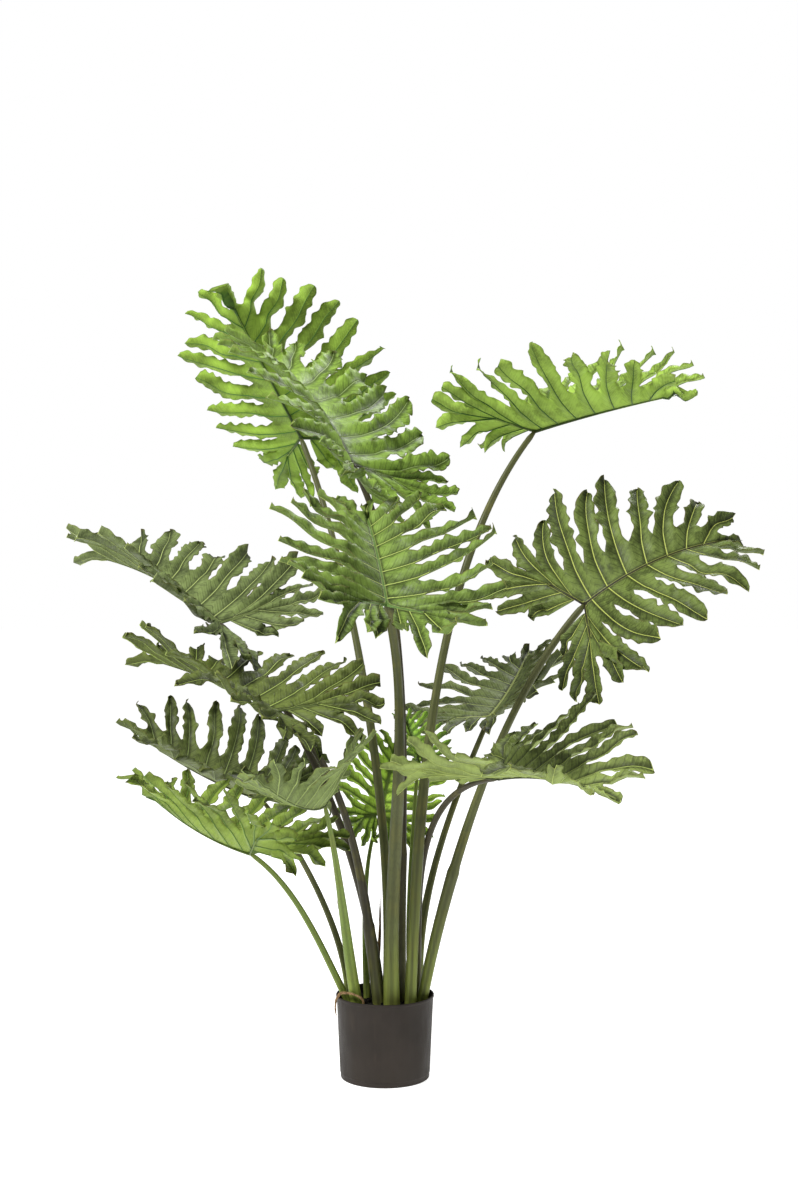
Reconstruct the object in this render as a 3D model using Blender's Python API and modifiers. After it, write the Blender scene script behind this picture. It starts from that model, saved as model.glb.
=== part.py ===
"""A philodendron selloum in a round nursery pot, at its real size in metres.

Fourteen deeply cut leaves, each on its own stalk, stand in a pot filled with soil. Between the
stalks stand two pointed dry sheaths, and a dry sheath loops over the rim. The origin is the
centre of the pot's underside, and the plant is seen along +Y, with +X to its right.
"""

import math

import bmesh
import bpy
import numpy as np
from mathutils import Vector
from mathutils.bvhtree import BVHTree

POT_HEIGHT = 0.131
RIM_RADIUS = 0.078
RIM_DEPTH = 0.004
WALL_TOP_RADIUS = 0.0772
WALL_FOOT_RADIUS = 0.0715
FOOT_RADIUS = 0.0706
FOOT_HEIGHT = 0.009
WALL = 0.0016
FLOOR = 0.002
ROUND_STEPS = 48

SOIL_TOP = 0.120
SOCKET_DEPTH = 0.045
STRAIGHT_ABOVE_SOIL = 0.004
GAP = 0.0003

BLADE_THICKNESS = 0.001
STALK_STEPS = 8

# One side of the blade from the tip back, in shares of the midrib: where each lobe's vein leaves
# the midrib, and how far forward and sideways its tip lies.
MID_LOBES = [
    (0.79, 1.06, 0.21),
    (0.68, 0.94, 0.36),
    (0.56, 0.79, 0.48),
    (0.43, 0.62, 0.57),
    (0.30, 0.43, 0.64),
    (0.17, 0.24, 0.67),
    (0.055, 0.05, 0.67),
]
MIDRIB_END = 0.88
TIP_LOBE = 0.22
# The rear rib leaves the stalk's end backwards. Its lobes: where the vein leaves the rib, in shares
# of the rib, the rib's stretch that the lobe takes, and its tip as above.
REAR_RIB_TURN = 128
REAR_RIB = 0.25
REAR_LOBES = [
    (0.26, 0.0, 0.42, -0.13, 0.65),
    (0.60, 0.42, 0.80, -0.31, 0.58),
    (1.0, 0.80, 1.0, -0.46, 0.47),
    (1.0, 1.0, 0.80, -0.54, 0.31),
    (0.60, 0.80, 0.42, -0.50, 0.155),
    (0.26, 0.42, 0.26, -0.33, 0.055),
]
# How far out the cut between two lobes ends, as a share of their length.
CUTS = [0.46, 0.36, 0.33, 0.30, 0.29, 0.29, 0.30, 0.32, 0.38, 0.46, 0.52, 0.50, 0.45]
NECK, SHOULDER = 0.041, 0.057
SHOULDER_AT = 0.72

# Each leaf: junction with its stalk (m), heading, pitch and roll (degrees), midrib (m), then the
# angles in radians by which its left and right halves rise and curl, its front and rear bend down
# and up, and the whole twists, and the degrees by which each half's rear lobes turn forward.
LEAVES = {
    "01": dict(at=(-0.149, 0.250, 1.040), turn=(237, 46, 26), midrib=0.291, rise=(0.55, 0.63),
               curl=(-0.00, -0.09), front=-0.08, rear=0.19, twist=-0.02, open=(0, 0)),
    "02": dict(at=(-0.051, -0.060, 0.971), turn=(134, 57, 27), midrib=0.306, rise=(0.18, 0.45),
               curl=(-0.63, 0.24), front=0.56, rear=1.20, twist=-0.13, open=(-4, 16)),
    "03": dict(at=(0.006, -0.420, 0.751), turn=(98, 39, 18), midrib=0.242, rise=(0.33, 0.64),
               curl=(-0.38, 0.09), front=0.17, rear=0.79, twist=-0.12, open=(6, -3)),
    "04": dict(at=(0.245, 0.073, 1.034), turn=(322, 11, 6), midrib=0.271, rise=(0.55, 0.63),
               curl=(0.18, 0.26), front=0.09, rear=-0.06, twist=0.07, open=(0, 0)),
    "05": dict(at=(0.312, -0.048, 0.750), turn=(343, 39, 58), midrib=0.271, rise=(0.41, 0.20),
               curl=(-0.19, -0.32), front=0.90, rear=-0.32, twist=-0.23, open=(17, 23)),
    "06": dict(at=(-0.268, 0.035, 0.720), turn=(155, 39, 0), midrib=0.277, rise=(0.34, 0.72),
               curl=(-0.33, -0.24), front=0.53, rear=0.51, twist=0.26, open=(7, 19)),
    "07": dict(at=(-0.162, -0.170, 0.592), turn=(148, 23, -2), midrib=0.260, rise=(0.38, 0.48),
               curl=(-0.21, -0.07), front=0.24, rear=0.06, twist=0.35, open=(0, 0)),
    "08": dict(at=(0.178, 0.200, 0.558), turn=(68, 16, -4), midrib=0.241, rise=(0.29, 0.50),
               curl=(-0.47, 0.09), front=-0.28, rear=0.27, twist=0.01, open=(0, 0)),
    "09": dict(at=(0.166, -0.230, 0.498), turn=(300, 10, 15), midrib=0.249, rise=(0.36, 0.47),
               curl=(0.00, 0.30), front=0.36, rear=0.15, twist=-0.06, open=(0, 0)),
    "10": dict(at=(-0.210, 0.170, 0.418), turn=(180, 18, -6), midrib=0.255, rise=(0.49, 0.64),
               curl=(-0.13, -0.00), front=-0.38, rear=1.20, twist=-0.23, open=(0, 0)),
    "11": dict(at=(-0.202, -0.140, 0.375), turn=(145, 8, 13), midrib=0.241, rise=(0.54, 0.62),
               curl=(0.14, 0.09), front=-0.40, rear=0.18, twist=-0.09, open=(0, 0)),
    "12": dict(at=(-0.085, -0.240, 0.460), turn=(258, -5, 36), midrib=0.189, rise=(0.45, 0.70),
               curl=(-0.04, 0.35), front=-0.94, rear=0.33, twist=-0.41, open=(0, 0)),
    "13": dict(at=(-0.010, 0.200, 0.389), turn=(77, 44, 24), midrib=0.165, rise=(0.53, 0.59),
               curl=(0.12, 0.03), front=-0.18, rear=0.06, twist=-0.09, open=(0, 0)),
    "14": dict(at=(0.054, 0.080, 0.500), turn=(120, 55, 0), midrib=0.085, rise=(0.70, 0.75),
               curl=(0.2, 0.2), front=0.1, rear=0.2, twist=0.0, open=(0, 0)),
}
# Each stalk: where it leaves the soil, the two points that pull its curve, and its radius at the
# soil and at the leaf.
STALKS = {
    "01": dict(foot=(0.005, -0.010), pulls=((0.017, 0.029, 0.426), (-0.063, 0.172, 0.829)),
               radii=(0.009, 0.0045)),
    "02": dict(foot=(0.025, -0.005), pulls=((0.021, 0.001, 0.413), (0.058, 0.011, 0.771)),
               radii=(0.009, 0.0045)),
    "03": dict(foot=(0.011, -0.038), pulls=((0.004, -0.038, 0.343), (0.045, -0.114, 0.589)),
               radii=(0.013, 0.006)),
    "04": dict(foot=(0.040, -0.030), pulls=((0.053, -0.040, 0.443), (0.073, 0.006, 0.821)),
               radii=(0.01, 0.005)),
    "05": dict(foot=(0.059, -0.008), pulls=((0.102, -0.014, 0.338), (0.181, -0.036, 0.603)),
               radii=(0.0095, 0.005)),
    "06": dict(foot=(-0.008, 0.005), pulls=((-0.023, 0.010, 0.326), (-0.138, 0.026, 0.601)),
               radii=(0.008, 0.0045)),
    "07": dict(foot=(-0.010, -0.025), pulls=((-0.030, -0.018, 0.278), (-0.049, -0.040, 0.504)),
               radii=(0.009, 0.0045)),
    "08": dict(foot=(0.054, 0.030), pulls=((0.046, 0.056, 0.280), (0.126, 0.149, 0.448)),
               radii=(0.008, 0.004)),
    "09": dict(foot=(0.049, 0.012), pulls=((0.057, 0.041, 0.240), (0.032, 0.036, 0.460)),
               radii=(0.008, 0.004)),
    "10": dict(foot=(-0.058, 0.012), pulls=((-0.066, 0.036, 0.230), (-0.148, 0.123, 0.349)),
               radii=(0.0065, 0.0035)),
    "11": dict(foot=(-0.060, -0.008), pulls=((-0.096, -0.028, 0.199), (-0.132, -0.100, 0.320)),
               radii=(0.0065, 0.0035)),
    "12": dict(foot=(-0.045, -0.030), pulls=((-0.063, -0.047, 0.243), (-0.067, -0.198, 0.376)),
               radii=(0.01, 0.0035)),
    "13": dict(foot=(-0.029, 0.010), pulls=((-0.033, 0.038, 0.223), (-0.042, 0.143, 0.321)),
               radii=(0.0055, 0.003)),
    "14": dict(foot=(0.042, 0.042), pulls=((0.031, 0.048, 0.256), (0.048, 0.069, 0.408)),
               radii=(0.005, 0.003)),
}
# The two pointed sheaths: foot, tip, radius at the soil.
SHEATHS = {
    "sheath_left": ((-0.056, 0.032), (-0.080, 0.055, 0.277), 0.003),
    "sheath_middle": ((-0.016, 0.024), (-0.008, 0.026, 0.303), 0.004),
}
LOOP = [
    (-0.034, -0.052, 0.132),
    (-0.044, -0.050, 0.1395),
    (-0.058, -0.0445, 0.142),
    (-0.0695, -0.037, 0.1395),
    (-0.0765, -0.0315, 0.128),
    (-0.078, -0.029, 0.113),
    (-0.0755, -0.0275, 0.098),
]
LOOP_RADIUS = 0.002

BRIGHT = (0.16, 0.36, 0.035)
GREEN = (0.075, 0.15, 0.03)
GREY_GREEN = (0.05, 0.09, 0.035)
DARK = (0.035, 0.065, 0.02)
LEAF_COLOURS = {
    "01": BRIGHT, "02": GREEN, "03": GREEN, "04": BRIGHT, "05": GREEN, "06": GREY_GREEN,
    "07": GREEN, "08": GREY_GREEN, "09": GREEN, "10": DARK, "11": BRIGHT, "12": GREEN,
    "13": BRIGHT, "14": BRIGHT,
}
STALK_COLOUR = (0.075, 0.10, 0.03)
POT_COLOUR = (0.045, 0.038, 0.032)
SOIL_COLOUR = (0.012, 0.010, 0.009)
DRY_COLOUR = (0.20, 0.11, 0.045)


def unit(degrees):
    return np.array([math.cos(math.radians(degrees)), math.sin(math.radians(degrees))])


def opened(point, spread):
    """A point turned towards the tip by the half's spread, less the nearer it already is."""
    share = min(1.0, max(0.0, (math.degrees(math.atan2(point[1], point[0])) - 30) / 80))
    x, y = unit(-spread * share)
    return np.array([point[0] * x - point[1] * y, point[0] * y + point[1] * x])


def lobe_plan(chance, spread):
    """The lobes of one half from the tip back: vein start, turn, length, bow, and its stretch of rib."""
    places = [lobe[0] for lobe in MID_LOBES]
    ends = [MIDRIB_END] + [(a + b) / 2 for a, b in zip(places, places[1:])] + [0.0]
    rear = unit(REAR_RIB_TURN - spread) * REAR_RIB
    rows = []
    for i, (place, forward, side) in enumerate(MID_LOBES):
        first, last = np.array([ends[i], 0.0]), np.array([ends[i + 1], 0.0])
        rows.append((np.array([place, 0.0]), (forward, side), first, last))
    for place, first, last, forward, side in REAR_LOBES:
        rows.append((rear * place, (forward, side), rear * first, rear * last))
    lobes = []
    for i, (start, tip, first, last) in enumerate(rows):
        run = opened(tip, spread) - start
        turn = math.degrees(math.atan2(run[1], run[0])) + chance.normal(0, 1.6)
        length = float(np.linalg.norm(run)) * (1 + chance.normal(0, 0.04))
        bow = 10 if i < 8 else 4 if i < 10 else -6
        size = (1.0 if i < 8 else 0.84 if i < 11 else 0.72) * (1.0 if i > 1 else 0.8)
        lobe = dict(start=start, turn=turn, length=length, bow=bow, first=first, last=last, size=size)
        lobes.append(lobe)
    return lobes


def tip_lobe():
    end = np.array([MIDRIB_END, 0.0])
    return dict(start=end, turn=0.0, length=TIP_LOBE, bow=0, first=end, last=end, size=0.82)


def vein(lobe, t):
    """Point and side direction at t along a lobe's bowed vein."""
    start = lobe["start"]
    end = start + unit(lobe["turn"]) * lobe["length"]
    pull = start + unit(lobe["turn"] + lobe["bow"]) * lobe["length"] * 0.5
    point = (1 - t) ** 2 * start + 2 * t * (1 - t) * pull + t * t * end
    along = 2 * (1 - t) * (pull - start) + 2 * t * (end - pull)
    along = along / np.linalg.norm(along)
    return point, np.array([along[1], -along[0]])


def half_width(lobe, t):
    """A neck, a wider shoulder and a rounded tip."""
    width = NECK + (SHOULDER - NECK) * min(1.0, t / SHOULDER_AT) ** 1.3
    over = max(0.0, (t - SHOULDER_AT) / (1 - SHOULDER_AT))
    return lobe["size"] * width * math.sqrt(max(0.0, 1 - over**2.6))


def cut_ends(lobes):
    """Where the cut on the tip side of each lobe ends."""
    first, _ = vein(lobes[0], CUTS[0])
    ends = [np.array([first[0] + 0.01, first[1] * 0.5])]
    for share, a, b in zip(CUTS[1:], lobes, lobes[1:]):
        ends.append((vein(a, share)[0] + vein(b, share)[0]) / 2)
    return ends


def lobe_rows(lobe, front_cut, rear_cut):
    """Three points across at each step: the web out to the cuts, then the free lobe to its tip."""
    cuts = [cut for cut in (front_cut, rear_cut) if cut is not None]
    out = np.mean([np.dot(cut - lobe["start"], unit(lobe["turn"])) for cut in cuts]) / lobe["length"]
    web = 0.97 * float(np.clip(out, 0.12, 0.6))
    middle, side = vein(lobe, web)
    width = half_width(lobe, web)
    front = front_cut
    rear = rear_cut if rear_cut is not None else middle - side * width
    rows = [(lobe["first"], lobe["start"], lobe["last"]), (front, middle, rear)]
    for t in (web + (1 - web) * 0.42, web + (1 - web) * 0.80, 1.0):
        middle, side = vein(lobe, t)
        width = half_width(lobe, t)
        rows.append((middle + side * width, middle, middle - side * width))
    return np.array(rows)


def blade_panels(seed, spreads):
    """Every lobe's flat points, in shares of the midrib."""
    chance = np.random.default_rng(seed)
    panels = []
    first_cuts = []
    for side, spread in zip((1, -1), spreads):
        lobes = lobe_plan(chance, spread)
        cuts = cut_ends(lobes)
        first_cuts.append(cuts[0] * (1, side))
        for i, lobe in enumerate(lobes):
            rows = lobe_rows(lobe, cuts[i], cuts[i + 1] if i + 1 < len(lobes) else None)
            panels.append(rows * (1, side))
    panels.append(lobe_rows(tip_lobe(), first_cuts[1], first_cuts[0]))
    return panels


def arc(run, first, bend):
    """Place and angle along a line that starts at an angle and bends evenly."""
    if abs(bend) < 1e-6:
        bend = 1e-6
    angle = first + bend * run
    return (np.sin(angle) - math.sin(first)) / bend, (math.cos(first) - np.cos(angle)) / bend, angle


def bent(flat, leaf):
    """Raises and curls the halves, then bends and twists the blade along its midrib."""
    p, q = flat[..., 0], flat[..., 1]
    left = arc(np.abs(q), leaf["rise"][0], leaf["curl"][0])
    right = arc(np.abs(q), leaf["rise"][1], leaf["curl"][1])
    across = np.where(q >= 0, left[0], -right[0])
    up = np.where(q >= 0, left[1], right[1])
    twist = leaf["twist"] * p
    across, up = across * np.cos(twist) - up * np.sin(twist), across * np.sin(twist) + up * np.cos(twist)
    front = arc(np.clip(p, 0, None), 0.0, -leaf["front"])
    rear = arc(np.clip(p, None, 0), 0.0, leaf["rear"])
    along, height, angle = (np.where(p >= 0, a, b) for a, b in zip(front, rear))
    return np.stack([along - up * np.sin(angle), across, height + up * np.cos(angle)], -1)


def directions(heading, pitch, roll):
    """Forward, left and up of a blade, as rows."""
    h, p, r = (math.radians(a) for a in (heading, pitch, roll))
    forward = np.array([math.cos(h) * math.cos(p), math.sin(h) * math.cos(p), math.sin(p)])
    left = np.array([-math.sin(h), math.cos(h), 0.0])
    up = np.cross(forward, left)
    return np.stack([forward, left * math.cos(r) + up * math.sin(r), up * math.cos(r) - left * math.sin(r)])


def placed(flat, leaf):
    return np.array(leaf["at"]) + leaf["midrib"] * bent(flat, leaf) @ directions(*leaf["turn"])


def material(name, colour, roughness):
    made = bpy.data.materials.new(name)
    made.use_nodes = True
    shader = made.node_tree.nodes["Principled BSDF"]
    shader.inputs["Base Color"].default_value = (*colour, 1)
    shader.inputs["Roughness"].default_value = roughness
    shader.inputs["Metallic"].default_value = 0.0
    return made


def add_object(name, data, collection, colour=None, roughness=0.5):
    made = bpy.data.objects.new(name, data)
    collection.objects.link(made)
    if colour is not None:
        data.materials.append(material(name, colour, roughness))
    return made


def add_panel(bm, points):
    """One lobe as a grid bent to its points, a single face wide where the lobe is free."""
    rows = len(points)
    verts = bmesh.ops.create_grid(bm, x_segments=2, y_segments=rows - 1, size=1)["verts"]
    for vert, point in zip(verts, points.reshape(-1, 3)):
        vert.co = point
    middle = [verts[3 * r + 1] for r in range(1, rows)]
    edges = [bm.edges.get(pair) for pair in zip(middle, middle[1:])]
    bmesh.ops.dissolve_edges(bm, edges=edges, use_verts=True)


def build_blade(name, leaf, seed, colour, collection):
    bm = bmesh.new()
    for flat in blade_panels(seed, leaf["open"]):
        add_panel(bm, placed(flat, leaf))
    bmesh.ops.remove_doubles(bm, verts=bm.verts, dist=0.00002)
    bmesh.ops.recalc_face_normals(bm, faces=bm.faces)
    bmesh.ops.triangulate(bm, faces=bm.faces)
    surface = BVHTree.FromBMesh(bm)
    mesh = bpy.data.meshes.new(name)
    bm.to_mesh(mesh)
    bm.free()
    mesh.shade_smooth()
    blade = add_object(name, mesh, collection, colour, 0.45)
    thick = blade.modifiers.new("thickness", "SOLIDIFY")
    thick.thickness = BLADE_THICKNESS
    thick.offset = 0
    return surface


def stalk_path(stalk, leaf, t):
    """Point at t along the stalk, from the soil to the leaf."""
    foot = np.array([*stalk["foot"], SOIL_TOP + STRAIGHT_ABOVE_SOIL])
    low, high = (np.array(pull) for pull in stalk["pulls"])
    start = (1 - t) ** 3 * foot + 3 * t * (1 - t) ** 2 * low
    return start + 3 * t * t * (1 - t) * high + t**3 * np.array(leaf["at"])


def stalk_radius(stalk, t):
    foot, top = stalk["radii"]
    return top + (foot - top) * (1 - t) ** 1.3


def clear_of(surface, stalk, leaf, t):
    """Whether the stalk's end face at t keeps its gap to the blade."""
    middle = stalk_path(stalk, leaf, t)
    along = middle - stalk_path(stalk, leaf, t - 0.01)
    along = Vector(along).normalized()
    side = along.orthogonal().normalized()
    other = along.cross(side)
    need = BLADE_THICKNESS / 2 + 2 * GAP
    for share in (0.0, 0.5, 1.0):
        for step in range(16):
            angle = 2 * math.pi * step / 16
            reach = stalk_radius(stalk, t) * share
            point = Vector(middle) + reach * (side * math.cos(angle) + other * math.sin(angle))
            if surface.find_nearest(point)[3] < need:
                return False
    return True


def stalk_end(surface, stalk, leaf):
    """How far the stalk runs before it would touch the blade."""
    t = 0.998
    while t > 0.85 and not clear_of(surface, stalk, leaf, t):
        t -= 0.001
    return t


def tube(name, points, radii, colour, roughness, collection):
    curve = bpy.data.curves.new(name, "CURVE")
    curve.dimensions = "3D"
    curve.bevel_depth = 1.0
    curve.bevel_resolution = 2
    curve.use_fill_caps = True
    spline = curve.splines.new("POLY")
    spline.points.add(len(points) - 1)
    for target, point, radius in zip(spline.points, points, radii):
        target.co = (*point, 1)
        target.radius = radius
    return add_object(name, curve, collection, colour, roughness)


def build_stalk(name, stalk, leaf, surface, collection):
    end = stalk_end(surface, stalk, leaf)
    steps = [end * i / STALK_STEPS for i in range(STALK_STEPS + 1)]
    foot = (*stalk["foot"], SOIL_TOP - SOCKET_DEPTH)
    points = [foot] + [tuple(stalk_path(stalk, leaf, t)) for t in steps]
    radii = [stalk["radii"][0]] + [stalk_radius(stalk, t) for t in steps]
    tube(name, points, radii, STALK_COLOUR, 0.5, collection)


def build_sheath(name, foot, tip, radius, collection):
    """A pointed dry sheath that stands in the soil."""
    base = np.array([*foot, SOIL_TOP + STRAIGHT_ABOVE_SOIL])
    points = [(*foot, SOIL_TOP - SOCKET_DEPTH)]
    radii = [radius]
    for t in (0.0, 0.3, 0.6, 0.85, 1.0):
        points.append(tuple(base + (np.array(tip) - base) * t))
        radii.append(radius * max(0.12, 1 - t**1.5))
    tube(name, points, radii, DRY_COLOUR, 0.8, collection)


def build_loop(collection):
    """The dry sheath that rises from the soil and hangs over the pot's rim."""
    foot = (LOOP[0][0], LOOP[0][1], SOIL_TOP - SOCKET_DEPTH)
    radii = [LOOP_RADIUS] * (len(LOOP) - 1) + [LOOP_RADIUS * 0.7, LOOP_RADIUS * 0.3]
    tube("sheath_loop", [foot] + LOOP, radii, DRY_COLOUR, 0.8, collection)


def turned(name, profile, colour, roughness, collection):
    """A profile in X and Z turned about the Z axis, down its outer side."""
    mesh = bpy.data.meshes.new(name)
    edges = [(i, i + 1) for i in range(len(profile) - 1)]
    mesh.from_pydata([(x, 0, z) for x, z in profile], edges, [])
    made = add_object(name, mesh, collection, colour, roughness)
    screw = made.modifiers.new("turn", "SCREW")
    screw.axis = "Z"
    screw.steps = ROUND_STEPS
    screw.render_steps = ROUND_STEPS
    screw.use_merge_vertices = True
    screw.merge_threshold = 0.0001
    screw.use_normal_calculate = True
    return made


def wall_radius(z):
    """Outer radius of the wall above the foot."""
    share = (z - FOOT_HEIGHT) / (POT_HEIGHT - FOOT_HEIGHT)
    return WALL_FOOT_RADIUS + (WALL_TOP_RADIUS - WALL_FOOT_RADIUS) * share


def build_pot(collection):
    profile = [
        (0, FLOOR),
        (FOOT_RADIUS - WALL - 0.002, FLOOR),
        (FOOT_RADIUS - WALL, FLOOR + 0.002),
        (WALL_TOP_RADIUS - WALL, POT_HEIGHT),
        (RIM_RADIUS, POT_HEIGHT),
        (RIM_RADIUS, POT_HEIGHT - RIM_DEPTH),
        (wall_radius(POT_HEIGHT - RIM_DEPTH - 0.001), POT_HEIGHT - RIM_DEPTH - 0.001),
        (WALL_FOOT_RADIUS, FOOT_HEIGHT),
        (FOOT_RADIUS, FOOT_HEIGHT - 0.001),
        (FOOT_RADIUS, 0.001),
        (FOOT_RADIUS - 0.001, 0),
        (0, 0),
    ]
    turned("pot", profile, POT_COLOUR, 0.55, collection)


def inner_radius(z):
    share = (z - FLOOR - 0.002) / (POT_HEIGHT - FLOOR - 0.002)
    return FOOT_RADIUS - WALL + (WALL_TOP_RADIUS - FOOT_RADIUS) * share


def build_soil(collection, helpers):
    low, slack = FLOOR + GAP, 2 * GAP
    profile = [
        (0, SOIL_TOP),
        (inner_radius(SOIL_TOP) - slack, SOIL_TOP),
        (inner_radius(FLOOR + 0.003) - slack, FLOOR + 0.003),
        (FOOT_RADIUS - WALL - 0.003 - slack, low),
        (0, low),
    ]
    soil = turned("soil", profile, SOIL_COLOUR, 0.95, collection)
    holes = bmesh.new()
    feet = [(stalk["foot"], stalk["radii"][0]) for stalk in STALKS.values()]
    feet += [(foot, radius) for foot, _, radius in SHEATHS.values()]
    feet.append((LOOP[0][:2], LOOP_RADIUS))
    bottom = SOIL_TOP - SOCKET_DEPTH - GAP
    for (x, y), radius in feet:
        made = bmesh.ops.create_cone(holes, cap_ends=True, segments=12, radius1=1, radius2=1, depth=1)["verts"]
        wide = (radius + GAP) / math.cos(math.pi / 12)
        bmesh.ops.scale(holes, vec=(wide, wide, 0.1), verts=made)
        bmesh.ops.translate(holes, vec=(x, y, bottom + 0.05), verts=made)
    mesh = bpy.data.meshes.new("soil_holes")
    holes.to_mesh(mesh)
    holes.free()
    cutter = add_object("soil_holes", mesh, helpers)
    cutter.hide_render = True
    cutter.display_type = "WIRE"
    cut = soil.modifiers.new("holes", "BOOLEAN")
    cut.operation = "DIFFERENCE"
    cut.object = cutter


def clear_scene():
    for old in list(bpy.data.objects):
        bpy.data.objects.remove(old, do_unlink=True)


def new_collection(name):
    made = bpy.data.collections.new(name)
    bpy.context.scene.collection.children.link(made)
    return made


def main():
    clear_scene()
    plant = new_collection("philodendron_selloum")
    helpers = new_collection("cutters")
    build_pot(plant)
    build_soil(plant, helpers)
    for number, leaf in LEAVES.items():
        surface = build_blade("blade_" + number, leaf, int(number), LEAF_COLOURS[number], plant)
        build_stalk("stalk_" + number, STALKS[number], leaf, surface, plant)
    for name, (foot, tip, radius) in SHEATHS.items():
        build_sheath(name, foot, tip, radius, plant)
    build_loop(plant)


main()
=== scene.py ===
import math

import bmesh
import bpy
import numpy as np
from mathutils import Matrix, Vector, noise


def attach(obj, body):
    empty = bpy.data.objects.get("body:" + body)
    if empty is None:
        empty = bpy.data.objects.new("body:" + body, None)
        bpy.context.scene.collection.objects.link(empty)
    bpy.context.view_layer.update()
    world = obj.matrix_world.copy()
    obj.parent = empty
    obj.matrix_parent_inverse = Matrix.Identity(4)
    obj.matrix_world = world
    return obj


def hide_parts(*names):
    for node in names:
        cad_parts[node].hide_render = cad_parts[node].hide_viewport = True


# The philodendron selloum dressed for its portrait: waved leaves with raised ribs, grooved stalks,
# dry sheaths, crumbly soil and a moulded pot. Sizes are in metres, and the plant is seen along +Y.

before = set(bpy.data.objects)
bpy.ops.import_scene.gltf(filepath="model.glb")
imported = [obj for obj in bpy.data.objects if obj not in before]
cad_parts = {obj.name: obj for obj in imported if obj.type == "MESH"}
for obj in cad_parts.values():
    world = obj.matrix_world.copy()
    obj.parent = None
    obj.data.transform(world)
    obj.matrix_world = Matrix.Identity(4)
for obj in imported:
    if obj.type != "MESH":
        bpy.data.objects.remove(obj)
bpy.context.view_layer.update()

POT_HEIGHT, RIM_RADIUS, RIM_DEPTH = 0.131, 0.078, 0.004
WALL_TOP_RADIUS, WALL_FOOT_RADIUS, FOOT_RADIUS, FOOT_HEIGHT = 0.0772, 0.0715, 0.0706, 0.009
WALL, FLOOR = 0.0016, 0.002
SOIL_TOP = 0.120
STALK_SUNK, STRAIGHT_ABOVE_SOIL = 0.02, 0.004
BLADE_THICKNESS = 0.0008

# Share of a seen colour that a leaf's paint takes, because the studio light lifts it.
LEAF_DEPTH = 0.72

# A lobe's mesh: rows in the web, columns on each side of the vein, and metres from row to row beyond.
# The marks are values kept at every point, which the finishes read.
WEB_ROWS, HALF_COLUMNS, FINE_STEP = 6, 3, 0.0034
BLADE_MARKS = ("from_vein", "from_edge", "from_rib", "along", "outward", "side")
TUBE_MARKS = ("along", "around")
WELD, LEAF_WELD, POT_WELD = 0.000005, 0.00002, 0.00001
VEIN_SUNK = 0.00042

# The midrib for which the ribs' radii are given, and the number of loose crumbs on the soil.
USUAL_MIDRIB = 0.28
CRUMBS = 420

# The camera's place, its focal length in pixels of a photo 1200 pixels high, and the lights.
CAMERA_PLACE = (0.0223, -2.6, 0.7575)
FOCAL_PIXELS, PHOTO_HEIGHT = 1632, 1200
WORLD_LIGHT, FLOOR_GLOW = 0.37, 0.68
KEY_WATTS, BACK_WATTS = 180, 60

# The lobes on one side of the midrib from the tip back, in shares of the midrib: where the vein leaves
# it, and how far forward and out the lobe's tip lies.
MID_LOBES = [
    (0.79, 1.06, 0.21),
    (0.68, 0.94, 0.36),
    (0.56, 0.79, 0.48),
    (0.43, 0.62, 0.57),
    (0.30, 0.43, 0.64),
    (0.17, 0.24, 0.67),
    (0.055, 0.05, 0.67),
]
MIDRIB_END = 0.88
TIP_LOBE = 0.22
# The rear rib leaves the stalk's end backwards. Its lobes: where the vein leaves the rib, in shares
# of the rib, the rib's stretch that the lobe takes, and its tip as above.
REAR_RIB_TURN = 128
REAR_RIB = 0.25
REAR_LOBES = [
    (0.26, 0.0, 0.42, -0.13, 0.65),
    (0.60, 0.42, 0.80, -0.31, 0.58),
    (1.0, 0.80, 1.0, -0.46, 0.47),
    (1.0, 1.0, 0.80, -0.54, 0.31),
    (0.60, 0.80, 0.42, -0.50, 0.155),
    (0.26, 0.42, 0.26, -0.33, 0.055),
]
# How far out the cut between two lobes ends, as a share of their length.
CUTS = [0.46, 0.36, 0.33, 0.30, 0.29, 0.29, 0.30, 0.32, 0.38, 0.46, 0.52, 0.50, 0.45]
# A lobe's half width at its neck and its shoulder, in shares of the midrib, and where the shoulder is.
NECK, SHOULDER, SHOULDER_AT = 0.037, 0.054, 0.72

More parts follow.
